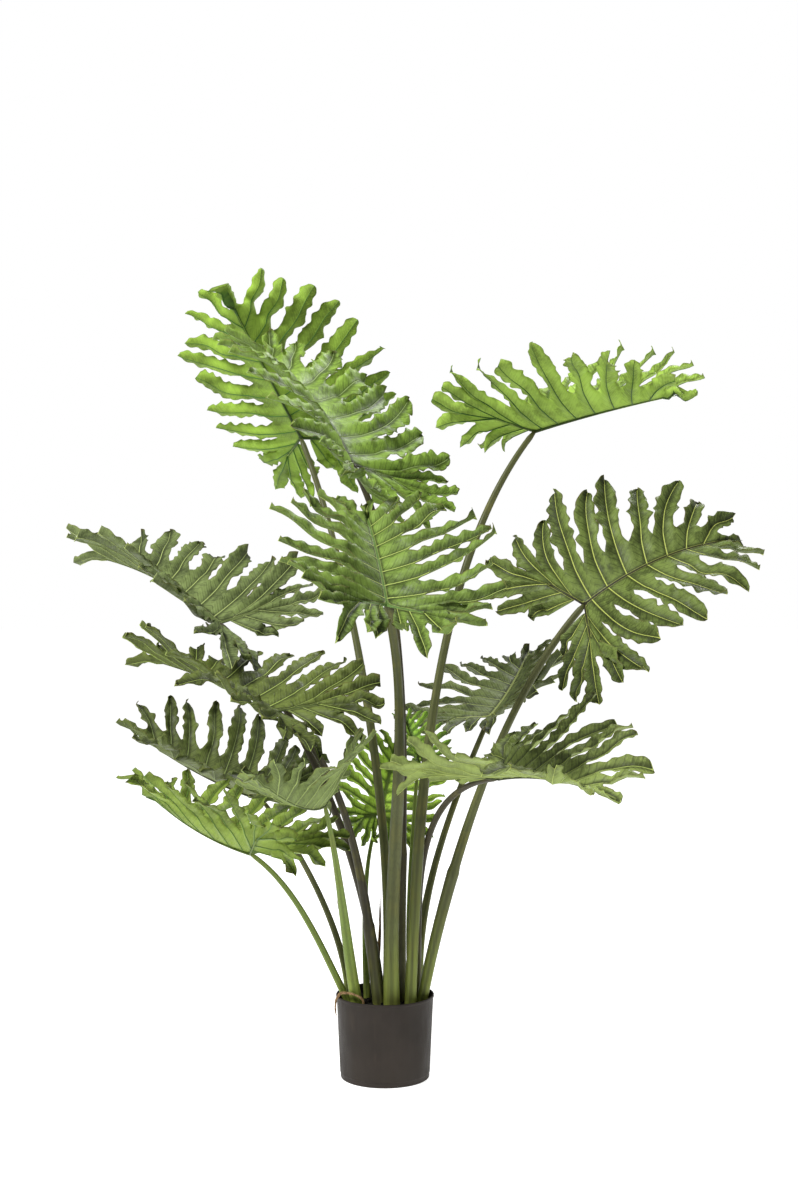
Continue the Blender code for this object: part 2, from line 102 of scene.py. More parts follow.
# Each leaf: the end of its stalk, its heading, pitch and roll in degrees, its midrib's length, how each
# half rises and curls, how the front and the rear bend, its twist, and the degrees by which the lobes of
# each rear half turn forward. Scratch scripts fitted leaves 01 to 13 to lobe tips marked by eye on the
# photo, at depths set by hand, and rounded the results. They are the same as in the part's source.
LEAVES = {
    "01": dict(at=(-0.149, 0.250, 1.040), turn=(237, 46, 26), midrib=0.291, rise=(0.55, 0.63),
               curl=(-0.00, -0.09), front=-0.08, rear=0.19, twist=-0.02, open=(0, 0)),
    "02": dict(at=(-0.051, -0.060, 0.971), turn=(134, 57, 27), midrib=0.306, rise=(0.18, 0.45),
               curl=(-0.63, 0.24), front=0.56, rear=1.20, twist=-0.13, open=(-4, 16)),
    "03": dict(at=(0.006, -0.420, 0.751), turn=(98, 39, 18), midrib=0.242, rise=(0.33, 0.64),
               curl=(-0.38, 0.09), front=0.17, rear=0.79, twist=-0.12, open=(6, -3)),
    "04": dict(at=(0.245, 0.073, 1.034), turn=(322, 11, 6), midrib=0.271, rise=(0.55, 0.63),
               curl=(0.18, 0.26), front=0.09, rear=-0.06, twist=0.07, open=(0, 0)),
    "05": dict(at=(0.312, -0.048, 0.750), turn=(343, 39, 58), midrib=0.271, rise=(0.41, 0.20),
               curl=(-0.19, -0.32), front=0.90, rear=-0.32, twist=-0.23, open=(17, 23)),
    "06": dict(at=(-0.268, 0.035, 0.720), turn=(155, 39, 0), midrib=0.277, rise=(0.34, 0.72),
               curl=(-0.33, -0.24), front=0.53, rear=0.51, twist=0.26, open=(7, 19)),
    "07": dict(at=(-0.162, -0.170, 0.592), turn=(148, 23, -2), midrib=0.260, rise=(0.38, 0.48),
               curl=(-0.21, -0.07), front=0.24, rear=0.06, twist=0.35, open=(0, 0)),
    "08": dict(at=(0.178, 0.200, 0.558), turn=(68, 16, -4), midrib=0.241, rise=(0.29, 0.50),
               curl=(-0.47, 0.09), front=-0.28, rear=0.27, twist=0.01, open=(0, 0)),
    "09": dict(at=(0.166, -0.230, 0.498), turn=(300, 10, 15), midrib=0.249, rise=(0.36, 0.47),
               curl=(0.00, 0.30), front=0.36, rear=0.15, twist=-0.06, open=(0, 0)),
    "10": dict(at=(-0.210, 0.170, 0.418), turn=(180, 18, -6), midrib=0.255, rise=(0.49, 0.64),
               curl=(-0.13, -0.00), front=-0.38, rear=1.20, twist=-0.23, open=(0, 0)),
    "11": dict(at=(-0.202, -0.140, 0.375), turn=(145, 8, 13), midrib=0.241, rise=(0.54, 0.62),
               curl=(0.14, 0.09), front=-0.40, rear=0.18, twist=-0.09, open=(0, 0)),
    "12": dict(at=(-0.085, -0.240, 0.460), turn=(258, -5, 36), midrib=0.189, rise=(0.45, 0.70),
               curl=(-0.04, 0.35), front=-0.94, rear=0.33, twist=-0.41, open=(0, 0)),
    "13": dict(at=(-0.010, 0.200, 0.389), turn=(77, 44, 24), midrib=0.165, rise=(0.53, 0.59),
               curl=(0.12, 0.03), front=-0.18, rear=0.06, twist=-0.09, open=(0, 0)),
    "14": dict(at=(0.054, 0.080, 0.500), turn=(120, 55, 0), midrib=0.085, rise=(0.70, 0.75),
               curl=(0.2, 0.2), front=0.1, rear=0.2, twist=0.0, open=(0, 0)),
}
# Each stalk: where it leaves the soil, the two points that pull its curve, which were fitted in the same
# way, and its radii at the soil and at the leaf.
STALKS = {
    "01": dict(foot=(0.005, -0.010), pulls=((0.017, 0.029, 0.426), (-0.063, 0.172, 0.829)),
               radii=(0.009, 0.0045)),
    "02": dict(foot=(0.025, -0.005), pulls=((0.021, 0.001, 0.413), (0.058, 0.011, 0.771)),
               radii=(0.009, 0.0045)),
    "03": dict(foot=(0.011, -0.038), pulls=((0.004, -0.038, 0.343), (0.045, -0.114, 0.589)),
               radii=(0.013, 0.006)),
    "04": dict(foot=(0.040, -0.030), pulls=((0.053, -0.040, 0.443), (0.073, 0.006, 0.821)),
               radii=(0.01, 0.005)),
    "05": dict(foot=(0.059, -0.008), pulls=((0.102, -0.014, 0.338), (0.181, -0.036, 0.603)),
               radii=(0.0095, 0.005)),
    "06": dict(foot=(-0.008, 0.005), pulls=((-0.023, 0.010, 0.326), (-0.138, 0.026, 0.601)),
               radii=(0.008, 0.0045)),
    "07": dict(foot=(-0.010, -0.025), pulls=((-0.030, -0.018, 0.278), (-0.049, -0.040, 0.504)),
               radii=(0.009, 0.0045)),
    "08": dict(foot=(0.054, 0.030), pulls=((0.046, 0.056, 0.280), (0.126, 0.149, 0.448)),
               radii=(0.008, 0.004)),
    "09": dict(foot=(0.049, 0.012), pulls=((0.057, 0.041, 0.240), (0.032, 0.036, 0.460)),
               radii=(0.008, 0.004)),
    "10": dict(foot=(-0.058, 0.012), pulls=((-0.066, 0.036, 0.230), (-0.148, 0.123, 0.349)),
               radii=(0.0065, 0.0035)),
    "11": dict(foot=(-0.060, -0.008), pulls=((-0.096, -0.028, 0.199), (-0.132, -0.100, 0.320)),
               radii=(0.0065, 0.0035)),
    "12": dict(foot=(-0.045, -0.030), pulls=((-0.063, -0.047, 0.243), (-0.067, -0.198, 0.376)),
               radii=(0.01, 0.0035)),
    "13": dict(foot=(-0.029, 0.010), pulls=((-0.033, 0.038, 0.223), (-0.042, 0.143, 0.321)),
               radii=(0.0055, 0.003)),
    "14": dict(foot=(0.042, 0.042), pulls=((0.031, 0.048, 0.256), (0.048, 0.069, 0.408)),
               radii=(0.005, 0.003)),
}
# How deeply lobes fold along their veins, on the leaves where it is more than on the others.
FOLDS = {"03": 1.8, "04": 1.6}
PLAIN_FOLDS = 1.3

# The dry sheath that loops over the rim.
LOOP = [
    (-0.034, -0.052, 0.116),
    (-0.034, -0.052, 0.132),
    (-0.044, -0.050, 0.1395),
    (-0.058, -0.0445, 0.142),
    (-0.0695, -0.037, 0.1395),
    (-0.0765, -0.0315, 0.128),
    (-0.078, -0.029, 0.113),
    (-0.0755, -0.0275, 0.098),
]

# Each leaf's finish: record slot, and the blade's, veins' and midrib's colours, in 0 to 255. The blade
# colours were scaled, once by a scratch script, until each leaf's mean colour came close to the photo's.
# The bright blade colours of leaves 01 and 04 are partly their paler undersides' own green and partly painted
# light shining through the blade.
FINISHES = {
    "01": ("leaf_bright", (136, 168, 60), (66, 110, 34), (58, 78, 30)),
    "02": ("leaf_green", (130, 160, 66), (150, 172, 104), (66, 74, 42)),
    "03": ("leaf_green", (109, 132, 58), (172, 188, 100), (96, 128, 60)),
    "04": ("leaf_bright", (158, 190, 80), (58, 100, 28), (66, 84, 36)),
    "05": ("leaf_green", (99, 114, 56), (178, 188, 96), (44, 42, 26)),
    "06": ("leaf_grey", (114, 128, 76), (166, 180, 110), (104, 118, 66)),
    "07": ("leaf_green", (95, 107, 50), (158, 176, 92), (76, 88, 44)),
    "08": ("leaf_grey", (90, 101, 56), (160, 174, 100), (150, 160, 92)),
    "09": ("leaf_green", (134, 150, 80), (168, 184, 98), (64, 74, 38)),
    "10": ("leaf_dark", (96, 108, 54), (120, 136, 76), (62, 70, 40)),
    "11": ("leaf_bright", (126, 148, 60), (88, 124, 44), (92, 112, 44)),
    "12": ("leaf_green", (118, 134, 76), (160, 178, 104), (96, 112, 60)),
    "13": ("leaf_bright", (168, 204, 76), (84, 118, 42), (92, 110, 46)),
    "14": ("leaf_bright", (138, 179, 61), (88, 120, 46), (90, 110, 46)),
}
# Stalk colours near the soil, halfway and under the leaf.
OLIVE = ((118, 130, 56), (82, 86, 50), (78, 80, 46))
BROWNED = ((94, 98, 52), (62, 58, 42), (60, 56, 38))
LIME = ((128, 142, 60), (102, 120, 52), (98, 116, 48))
# Height at which the sheath round a stalk's lower part ends in a step.
SHEATH_ENDS = {"05": 0.329, "02": 0.364, "07": 0.25}
STALK_FINISHES = {
    "01": OLIVE, "02": BROWNED, "03": OLIVE, "04": OLIVE, "05": OLIVE, "06": BROWNED, "07": BROWNED,
    "08": OLIVE, "09": BROWNED, "10": OLIVE, "11": LIME, "12": LIME, "13": LIME, "14": LIME,
}


# Shape of a leaf


def unit(degrees):
    """A direction in the flat blade, from the midrib's."""
    return np.array([math.cos(math.radians(degrees)), math.sin(math.radians(degrees))])


def opened(point, spread):
    """A point turned towards the tip by the half's spread, less the nearer it already is."""
    share = min(1.0, max(0.0, (math.degrees(math.atan2(point[1], point[0])) - 30) / 80))
    x, y = unit(-spread * share)
    return np.array([point[0] * x - point[1] * y, point[0] * y + point[1] * x])


def lobe_plan(chance, spread):
    """The lobes of one half from the tip back: vein start, turn, length, bow, and its stretch of rib."""
    places = [lobe[0] for lobe in MID_LOBES]
    ends = [MIDRIB_END] + [(a + b) / 2 for a, b in zip(places, places[1:])] + [0.0]
    rear = unit(REAR_RIB_TURN - spread) * REAR_RIB
    rows = []
    for i, (place, forward, side) in enumerate(MID_LOBES):
        first, last = np.array([ends[i], 0.0]), np.array([ends[i + 1], 0.0])
        rows.append((np.array([place, 0.0]), (forward, side), first, last))
    for place, first, last, forward, side in REAR_LOBES:
        rows.append((rear * place, (forward, side), rear * first, rear * last))
    lobes = []
    for i, (start, tip, first, last) in enumerate(rows):
        run = opened(tip, spread) - start
        turn = math.degrees(math.atan2(run[1], run[0])) + chance.normal(0, 1.6)
        length = float(np.linalg.norm(run)) * (1 + chance.normal(0, 0.04))
        bow = 10 if i < 8 else 4 if i < 10 else -6
        size = (1.0 if i < 8 else 0.84 if i < 11 else 0.72) * (1.0 if i > 1 else 0.8)
        lobe = dict(start=start, turn=turn, length=length, bow=bow, first=first, last=last, size=size)
        lobes.append(lobe)
    return lobes


def tip_lobe():
    """The lobe that ends the midrib."""
    end = np.array([MIDRIB_END, 0.0])
    return dict(start=end, turn=0.0, length=TIP_LOBE, bow=0, first=end, last=end, size=0.82)


def vein(lobe, t):
    """Points and side directions at shares t along a lobe's bowed vein."""
    t = np.atleast_1d(np.asarray(t, float))[:, None]
    start = lobe["start"]
    end = start + unit(lobe["turn"]) * lobe["length"]
    pull = start + unit(lobe["turn"] + lobe["bow"]) * lobe["length"] * 0.5
    point = (1 - t) ** 2 * start + 2 * t * (1 - t) * pull + t * t * end
    along = 2 * (1 - t) * (pull - start) + 2 * t * (end - pull)
    along = along / np.linalg.norm(along, axis=1, keepdims=True)
    return point, np.stack([along[:, 1], -along[:, 0]], 1)


def half_width(lobe, t):
    """A neck, a wider shoulder and a rounded tip."""
    width = NECK + (SHOULDER - NECK) * np.clip(t / SHOULDER_AT, 0, 1) ** 1.3
    over = np.clip((t - SHOULDER_AT) / (1 - SHOULDER_AT), 0, 1)
    return lobe["size"] * width * np.sqrt(1 - over**2.6)


def cut_ends(lobes):
    """Where the cut on the tip side of each lobe ends."""
    first = vein(lobes[0], CUTS[0])[0][0]
    ends = [np.array([first[0] + 0.01, first[1] * 0.5])]
    for share, a, b in zip(CUTS[1:], lobes, lobes[1:]):
        ends.append((vein(a, share)[0][0] + vein(b, share)[0][0]) / 2)
    return ends


def waved(t, waves, drift, rate, luck):
    """Waves along a lobe, bunched and spread a little."""
    phase = waves * t + luck.uniform(0, 1)
    return np.sin(2 * math.pi * phase + drift * np.sin(rate * t + luck.uniform(0, 6)))


def toothed(t, at, size):
    """A tooth that points to the tip: it widens slowly and steps back."""
    return size * np.clip((t - at + 0.13) / 0.13, 0, 1) * np.clip((at + 0.035 - t) / 0.035, 0, 1)


def margin(lobe, t, web, luck, midrib):
    """Extra width of one waved and toothed edge along the free part of a lobe."""
    waves = lobe["length"] * midrib / luck.uniform(0.019, 0.028)
    grown = np.clip((t - web) / 0.10, 0, 1) * np.clip((1 - t) / 0.07, 0, 1)
    swing = waved(t, waves, 1.1, 7, luck)
    edge = luck.uniform(0.0035, 0.0075) * swing * (0.55 + 0.75 * np.clip((t - web) / (1 - web), 0, 1))
    edge += luck.uniform(-0.006, 0.006)
    edge += toothed(t, luck.uniform(0.54, 0.68), luck.uniform(0.006, 0.030))
    edge += toothed(t, luck.uniform(0.74, 0.86), luck.uniform(-0.004, 0.014))
    return edge * grown * min(1.0, lobe["size"] + 0.1)


def lobe_surface(lobe, front_cut, rear_cut, luck, leaf, folds, spread):
    """Flat points, their lift off the blade, and marks for the finish, from the rib to the tip."""
    midrib = leaf["midrib"]
    cuts = [cut for cut in (front_cut, rear_cut) if cut is not None]
    out = np.mean([np.dot(cut - lobe["start"], unit(lobe["turn"])) for cut in cuts]) / lobe["length"]
    web = 0.97 * float(np.clip(out, 0.12, 0.6))
    free = max(16, int(lobe["length"] * (1 - web) * midrib / FINE_STEP))
    inner = np.linspace(0, 1, WEB_ROWS + 1)
    outer = np.linspace(0, 1, free + 1)[1:]
    t = np.concatenate([inner * web, web + (1 - web) * (1 - (1 - outer) ** 1.25)])
    share = np.concatenate([inner, np.ones(free)])
    middle, side = vein(lobe, t)
    gone = np.clip((t - web) / (1 - web), 0, 1)
    wander = luck.normal(0, 0.022) * gone**2 + luck.normal(0, 0.006) * np.sin(5 * gone)
    middle = middle + side * wander[:, None]
    width = half_width(lobe, t)
    edges = []
    for sign, cut, rib_end in ((1, front_cut, lobe["first"]), (-1, rear_cut, lobe["last"])):
        side_width = width + margin(lobe, t, web, luck, midrib)
        edge = middle + sign * side * side_width[:, None]
        if cut is None:
            near = rib_end + (edge - rib_end) * share[:, None]
        else:
            near = rib_end + (cut - rib_end) * share[:, None]
            off = cut - (middle + sign * side * width[:, None])[WEB_ROWS]
            fade = np.clip(1 - (t - web) / 0.15, 0, 1)[:, None] ** 2
            edge = edge + off * fade
        edges.append(np.where((np.arange(len(t)) <= WEB_ROWS)[:, None], near, edge))
    across = np.linspace(-1, 1, 2 * HALF_COLUMNS + 1)
    reach = np.abs(across)[None, :, None]
    toward = np.where((across < 0)[None, :, None], edges[0][:, None, :], edges[1][:, None, :])
    flat = middle[:, None, :] + (toward - middle[:, None, :]) * reach
    lift = lobe_lift(lobe, t, web, share, across, luck, midrib, folds)
    return flat, lift, finish_marks(flat, t, web, edges, middle, across, lobe, midrib, spread)


def lobe_lift(lobe, t, web, share, across, luck, midrib, folds):
    """Pleats between the veins, ruffled edges and a lobe's own droop, in shares of the midrib."""
    gone = np.clip((t - web) / (1 - web), 0, 1)
    ramp = np.clip(gone / 0.2, 0, 1)
    waves = lobe["length"] * midrib / luck.uniform(0.02, 0.03)
    u = np.abs(across)[None, :]
    pleat = 0.026 * folds * (np.minimum(share, 1) * (1 - 0.4 * gone))[:, None] * (u**1.15 - 0.35)
    lift = pleat * np.minimum(1, share[:, None] * 3)
    ruffle = np.zeros((len(t), len(across)))
    for sign in (-1, 1):
        swing = waved(t, waves, 1.5, 6, luck)
        size = luck.uniform(0.005, 0.011) * ramp * np.clip((1 - t) / 0.05, 0.3, 1)
        ruffle += np.where(sign * across > 0, 1, 0)[None, :] * (size * swing)[:, None] * u**2
    bend = luck.normal(0.03, 0.045)
    sway = luck.normal(0, 0.012)
    turn = luck.normal(0, 0.38)
    lift = lift + ruffle - bend * gone[:, None] ** 2
    lift = lift + sway * (np.sin(2 * math.pi * (1.2 * gone + luck.uniform(0, 1))) * ramp)[:, None]
    twist = turn * (gone**1.3)[:, None] * across[None, :]
    return lift + twist * half_width(lobe, np.minimum(t, 0.8))[:, None]


def to_segment(points, a, b):
    """Distance of points from a straight line between a and b."""
    run = b - a
    share = np.clip(((points - a) @ run) / (run @ run), 0, 1)
    return np.linalg.norm(points - a - share[..., None] * run, axis=-1)


def finish_marks(flat, t, web, edges, middle, across, lobe, midrib, spread):
    """Millimetres from the lobe's vein, its edge and the nearest rib and along it, and shares of it."""
    mm = 1000 * midrib
    u = np.abs(across)[None, :]
    front, rear = (np.linalg.norm(edge - middle, axis=1)[:, None] for edge in edges)
    wide = np.where(across[None, :] < 0, front, rear)
    from_vein = u * wide * mm
    inside = np.clip((web - t) / web, 0, 1)[:, None]
    from_edge = (1 - u) * wide * mm + 40 * inside
    point = np.stack([flat[..., 0], np.abs(flat[..., 1])], -1)
    origin = np.zeros(2)
    rear_rib = to_segment(point, origin, unit(REAR_RIB_TURN - spread) * REAR_RIB)
    rib = np.minimum(to_segment(point, origin, np.array([1.05, 0.0])), rear_rib) * mm
    along = np.repeat(t[:, None] * lobe["length"] * mm, len(across), 1)
    outward, side = np.broadcast_arrays(t[:, None], across[None, :])
    return np.stack([from_vein, from_edge, rib, along, outward, side], -1)


def leaf_lobes(number, leaf):
    """Every lobe of a leaf: flat points, lift and finish marks."""
    folds = FOLDS.get(number, PLAIN_FOLDS)
    chance = np.random.default_rng(int(number))
    luck = np.random.default_rng(500 + int(number))
    found, first_cuts = [], []
    for side, spread in zip((1, -1), leaf["open"]):
        lobes = lobe_plan(chance, spread)
        cuts = cut_ends(lobes)
        first_cuts.append(cuts[0] * (1, side))
        for i, lobe in enumerate(lobes):
            rear = cuts[i + 1] if i + 1 < len(lobes) else None
            flat, lift, marks = lobe_surface(lobe, cuts[i], rear, luck, leaf, folds, spread)
            found.append((flat * (1, side), lift, marks))
    found.append(lobe_surface(tip_lobe(), first_cuts[1], first_cuts[0], luck, leaf, folds, 0))
    return found


def arc(run, first, bend):
    """Place and angle along a line that starts at an angle and bends evenly."""
    if abs(bend) < 1e-6:
        bend = 1e-6
    angle = first + bend * run
    return (np.sin(angle) - math.sin(first)) / bend, (math.cos(first) - np.cos(angle)) / bend, angle


def bent(flat, lift, leaf):
    """Raises and curls the halves, then bends and twists the blade along its midrib."""
    p, q = flat[..., 0], flat[..., 1]
    left = arc(np.abs(q), leaf["rise"][0], leaf["curl"][0])
    right = arc(np.abs(q), leaf["rise"][1], leaf["curl"][1])
    run, up, slope = (np.where(q >= 0, a, b) for a, b in zip(left, right))
    across = (run - lift * np.sin(slope)) * np.where(q >= 0, 1.0, -1.0)
    up = up + lift * np.cos(slope)
    cosine, sine = np.cos(leaf["twist"] * p), np.sin(leaf["twist"] * p)
    across, up = across * cosine - up * sine, across * sine + up * cosine
    front = arc(np.clip(p, 0, None), 0.0, -leaf["front"])
    rear = arc(np.clip(p, None, 0), 0.0, leaf["rear"])
    along, height, angle = (np.where(p >= 0, a, b) for a, b in zip(front, rear))
    return np.stack([along - up * np.sin(angle), across, height + up * np.cos(angle)], -1)


def directions(heading, pitch, roll):
    """Forward, left and up of a blade, as rows."""
    h, p, r = (math.radians(a) for a in (heading, pitch, roll))
    forward = np.array([math.cos(h) * math.cos(p), math.sin(h) * math.cos(p), math.sin(p)])
    left = np.array([-math.sin(h), math.cos(h), 0.0])
    up = np.cross(forward, left)
    rolled = left * math.cos(r) + up * math.sin(r)
    return np.stack([forward, rolled, up * math.cos(r) - left * math.sin(r)])


def placed(flat, lift, leaf):
    """Points of the flat blade in the plant's own place."""
    shape = leaf["midrib"] * bent(flat, lift, leaf)
    return np.array(leaf["at"]) + shape @ directions(*leaf["turn"])


# Finishes


def shown(colour, gain=1.0):
    """A screen colour given as 0 to 255, made linear."""
    made = []
    for part in colour:
        value = part / 255
        value = value / 12.92 if value <= 0.04045 else ((value + 0.055) / 1.055) ** 2.4
        made.append(min(1.0, value * gain))
    return (*made, 1.0)


class Finish:
    """A material and short ways to add its nodes."""

    def __init__(self, name, roughness=0.5, specular=0.5):
        self.material = bpy.data.materials.new(name)
        self.material.use_nodes = True
        self.nodes = self.material.node_tree.nodes
        self.links = self.material.node_tree.links
        self.shader = self.nodes["Principled BSDF"]
        self.shader.inputs["Roughness"].default_value = roughness
        self.shader.inputs["Specular IOR Level"].default_value = specular

    def give(self, socket, value):
        """Links a socket to another one, or sets a constant on it."""
        if isinstance(value, bpy.types.NodeSocket):
            self.links.new(value, socket)
        else:
            socket.default_value = value

    def place(self):
        """The place on the object."""
        return self.nodes.new("ShaderNodeTexCoord").outputs["Object"]

    def mark(self, name):
        """A value kept at the mesh's points."""
        made = self.nodes.new("ShaderNodeAttribute")
        made.attribute_name = name
        return made.outputs["Fac"]

    def noise(self, scale, detail=2.0, rough=0.5, where=None):
        """Cloudy noise from 0 to 1."""
        made = self.nodes.new("ShaderNodeTexNoise")
        made.inputs["Scale"].default_value = scale
        made.inputs["Detail"].default_value = detail
        made.inputs["Roughness"].default_value = rough
        self.links.new(where or self.place(), made.inputs["Vector"])
        return made.outputs["Fac"]

    def stretched(self, sizes):
        """The place on the object, scaled along each axis."""
        made = self.nodes.new("ShaderNodeMapping")
        made.inputs["Scale"].default_value = sizes
        self.links.new(self.place(), made.inputs["Vector"])
        return made.outputs["Vector"]

    def band(self, value, low, high, to_low=0.0, to_high=1.0):
        """A smooth step between two values."""
        made = self.nodes.new("ShaderNodeMapRange")
        made.interpolation_type = "SMOOTHSTEP"
        given = {"Value": value, "From Min": low, "From Max": high, "To Min": to_low, "To Max": to_high}
        for name, one in given.items():
            self.give(made.inputs[name], one)
        return made.outputs["Result"]

    def calc(self, kind, first, second=0.0):
        """One step of arithmetic."""
        made = self.nodes.new("ShaderNodeMath")
        made.operation = kind
        self.give(made.inputs[0], first)
        self.give(made.inputs[1], second)
        return made.outputs[0]

    def mix(self, share, first, second):
        """A blend of two colours."""
        made = self.nodes.new("ShaderNodeMix")
        made.data_type = "RGBA"
        self.give(made.inputs["Factor"], share)
        self.give(made.inputs[6], first)
        self.give(made.inputs[7], second)
        return made.outputs[2]

    def bump(self, height, depth, strength=1.0, after=None):
        """Low relief from a height, over another one where that is given."""
        made = self.nodes.new("ShaderNodeBump")
        made.inputs["Strength"].default_value = strength
        made.inputs["Distance"].default_value = depth
        self.links.new(height, made.inputs["Height"])
        if after is not None:
            self.links.new(after, made.inputs["Normal"])
        return made.outputs["Normal"]

    def dress(self, colour, roughness=None, normal=None):
        """The finished material."""
        self.give(self.shader.inputs["Base Color"], colour)
        if roughness is not None:
            self.give(self.shader.inputs["Roughness"], roughness)
        if normal is not None:
            self.give(self.shader.inputs["Normal"], normal)
        return self.material


def blade_finish(name, blade, veins, rib, below):
    """A waxy green leaf: mottled, pale veins, painted shade and light, darker rims and fine side veins."""
    look = Finish(name, 0.42, 0.16)
    # Darker, paler and fresher copies of the blade; the first two also serve as painted shade and light.
    gains = (0.42, 1.5, 1.15) if below else (0.18, 2.0, 1.5)
    dark_and_shaded, light, fresh = (shown(blade, LEAF_DEPTH * gain) for gain in gains)
    from_vein, from_edge = look.mark("from_vein"), look.mark("from_edge")
    from_rib, along, out = look.mark("from_rib"), look.mark("along"), look.mark("outward")
    patches = look.band(look.noise(14, 3), 0.38, 0.64)
    mottle = look.noise(150, 3, 0.6)
    colour = look.mix(patches, shown(blade, LEAF_DEPTH * 0.6), shown(blade, LEAF_DEPTH * 1.35))
    inner = look.band(from_rib, 6.0, 38.0, 0.55, 0.0)
    colour = look.mix(inner, colour, fresh)
    colour = look.mix(look.band(out, 0.55, 1.0, 0.0, 0.35), colour, dark_and_shaded)
    colour = look.mix(look.band(mottle, 0.42, 0.70, 0.0, 0.4), colour, light)
    slant = look.calc("SUBTRACT", along, look.calc("MULTIPLY", from_vein, 0.9))
    slant = look.calc("ADD", slant, look.calc("MULTIPLY", look.noise(60, 2), 4.0))
    ridge = look.band(look.calc("SINE", look.calc("MULTIPLY", slant, 1.05)), 0.55, 1.0)
    colour = look.mix(look.calc("MULTIPLY", ridge, 0.22), colour, light)
    # Painted shade: dark creases between the fine side veins.
    furrow_shade = look.band(look.calc("SINE", look.calc("MULTIPLY", slant, 0.52)), 0.75, 1.0)
    # Painted shade strengths in creases, beside the veins and in dents, for the underside and then the top.
    furrow_shades, shade, hollow_shades = (0.2, 0.35, 0.2) if below else (0.4, 0.92, 0.6)
    colour = look.mix(look.calc("MULTIPLY", furrow_shade, furrow_shades), colour, dark_and_shaded)
    # Painted shade: a dark band beside each vein, full on the lobe's rear side and about half on its tip
    # side.
    fold = look.band(look.mark("side"), -0.35, 0.35, 0.45, 1.0)
    beside = look.calc("MULTIPLY", look.band(from_vein, 0.9, 8.0, shade, 0.0), fold)
    colour = look.mix(beside, colour, dark_and_shaded)
    # Painted light: a paler band towards the tip-side edge of each lobe, its lit half.
    lit_side = look.band(look.mark("side"), -0.75, -0.25, 0.35, 0.0)
    colour = look.mix(lit_side, colour, light)
    # Painted shade in cloudy patches that stand for dents in the blade.
    hollow_shade = look.band(look.noise(38, 3, 0.6), 0.50, 0.68, 0.0, hollow_shades)
    colour = look.mix(hollow_shade, colour, dark_and_shaded)
    # Painted shade in a band along the midrib and the rear ribs.
    colour = look.mix(look.band(from_rib, 2.0, 8.0, shade, 0.0), colour, dark_and_shaded)
    thin = look.band(out, 0.0, 1.0, 1.25, 0.45)
    line = look.band(from_vein, look.calc("MULTIPLY", thin, 0.55), thin, 0.95, 0.0)
    colour = look.mix(line, colour, shown(veins, LEAF_DEPTH * 1.25))
    colour = look.mix(look.band(from_rib, 2.1, 3.2, 0.8, 0.0), colour, shown(veins, LEAF_DEPTH * 0.8))
    colour = look.mix(look.band(from_rib, 1.5, 2.2, 0.96, 0.0), colour, shown(rib, LEAF_DEPTH))
    worn = look.band(look.noise(45, 2), 0.4, 0.6)
    rim = look.calc("MULTIPLY", look.band(from_edge, 0.3, 1.7, 0.6, 0.0), worn)
    colour = look.mix(rim, colour, shown((104, 92, 50) if not below else (132, 140, 66), LEAF_DEPTH))
    raised = look.band(from_vein, 0.2, 1.7, 1.3 if below else -1.3, 0.0)
    normal = look.bump(look.calc("ADD", look.calc("MULTIPLY", ridge, 0.6), raised), 0.0006, 0.8)
    fine = look.calc("ADD", mottle, look.calc("MULTIPLY", look.noise(900, 2), 0.3))
    normal = look.bump(fine, 0.0008, 0.5, normal)
    low, high = (0.5, 0.68) if below else (0.42, 0.62)
    return look.dress(colour, look.band(look.noise(60, 2), 0.3, 0.7, low, high), normal)


def rib_finish(name, rib, tip):
    """Ribs and veins, which pass into another colour outwards and are darker in blotches."""
    look = Finish(name, 0.5, 0.2)
    out = look.mark("outward")
    colour = look.mix(look.band(out, 0.25, 1.0), shown(rib, LEAF_DEPTH), shown(tip, LEAF_DEPTH))
    colour = look.mix(look.band(look.noise(90, 2), 0.4, 0.7, 0.0, 0.45), colour, shown(rib, 0.6 * LEAF_DEPTH))
    return look.dress(colour, None, look.bump(look.noise(700, 2), 0.0003, 0.4))


def stalk_finish(name, colours, seed):
    """Smooth skin with lengthwise streaks, paler near the soil, and painted shade in its groove."""
    look = Finish(name, 0.45, 0.2)
    base, middle, top = colours
    along, around = look.mark("along"), look.mark("around")
    colour = look.mix(look.band(along, 0.0, 0.30), shown(base), shown(middle))
    colour = look.mix(look.band(along, 0.45, 1.0), colour, shown(top))
    streak = look.noise(1.0, 3, 0.6, look.stretched((420, 420, 9)))
    colour = look.mix(look.band(streak, 0.42, 0.75, 0.0, 0.55), colour, shown(middle, 0.55))
    blotch = look.noise(22 + seed, 3)
    colour = look.mix(look.band(blotch, 0.5, 0.75, 0.0, 0.4), colour, shown((112, 108, 54)))
    foot = look.band(along, 0.0, 0.05, 0.35, 0.0)
    colour = look.mix(foot, colour, shown((150, 152, 62)))
    # Painted shade along the stalk's groove.
    groove = look.band(look.calc("ABSOLUTE", around), 0.05, 0.55, 0.55, 0.0)
    colour = look.mix(groove, colour, shown(middle, 0.45))
    normal = look.bump(streak, 0.0005, 0.5)
    return look.dress(colour, look.band(blotch, 0.3, 0.7, 0.38, 0.6), normal)


def dry_finish():
    """Brown papery skin with streaks and paler edges."""
    look = Finish("dry_sheath_finish", 0.75, 0.25)
    streak = look.noise(1.0, 3, 0.65, look.stretched((600, 600, 60)))
    colour = look.mix(look.band(streak, 0.35, 0.7), shown((84, 62, 40)), shown((150, 122, 84)))
    colour = look.mix(look.band(look.mark("around"), 0.6, 1.0, 0.0, 0.7), colour, shown((206, 182, 134)))
    return look.dress(colour, None, look.bump(streak, 0.0008, 0.8))


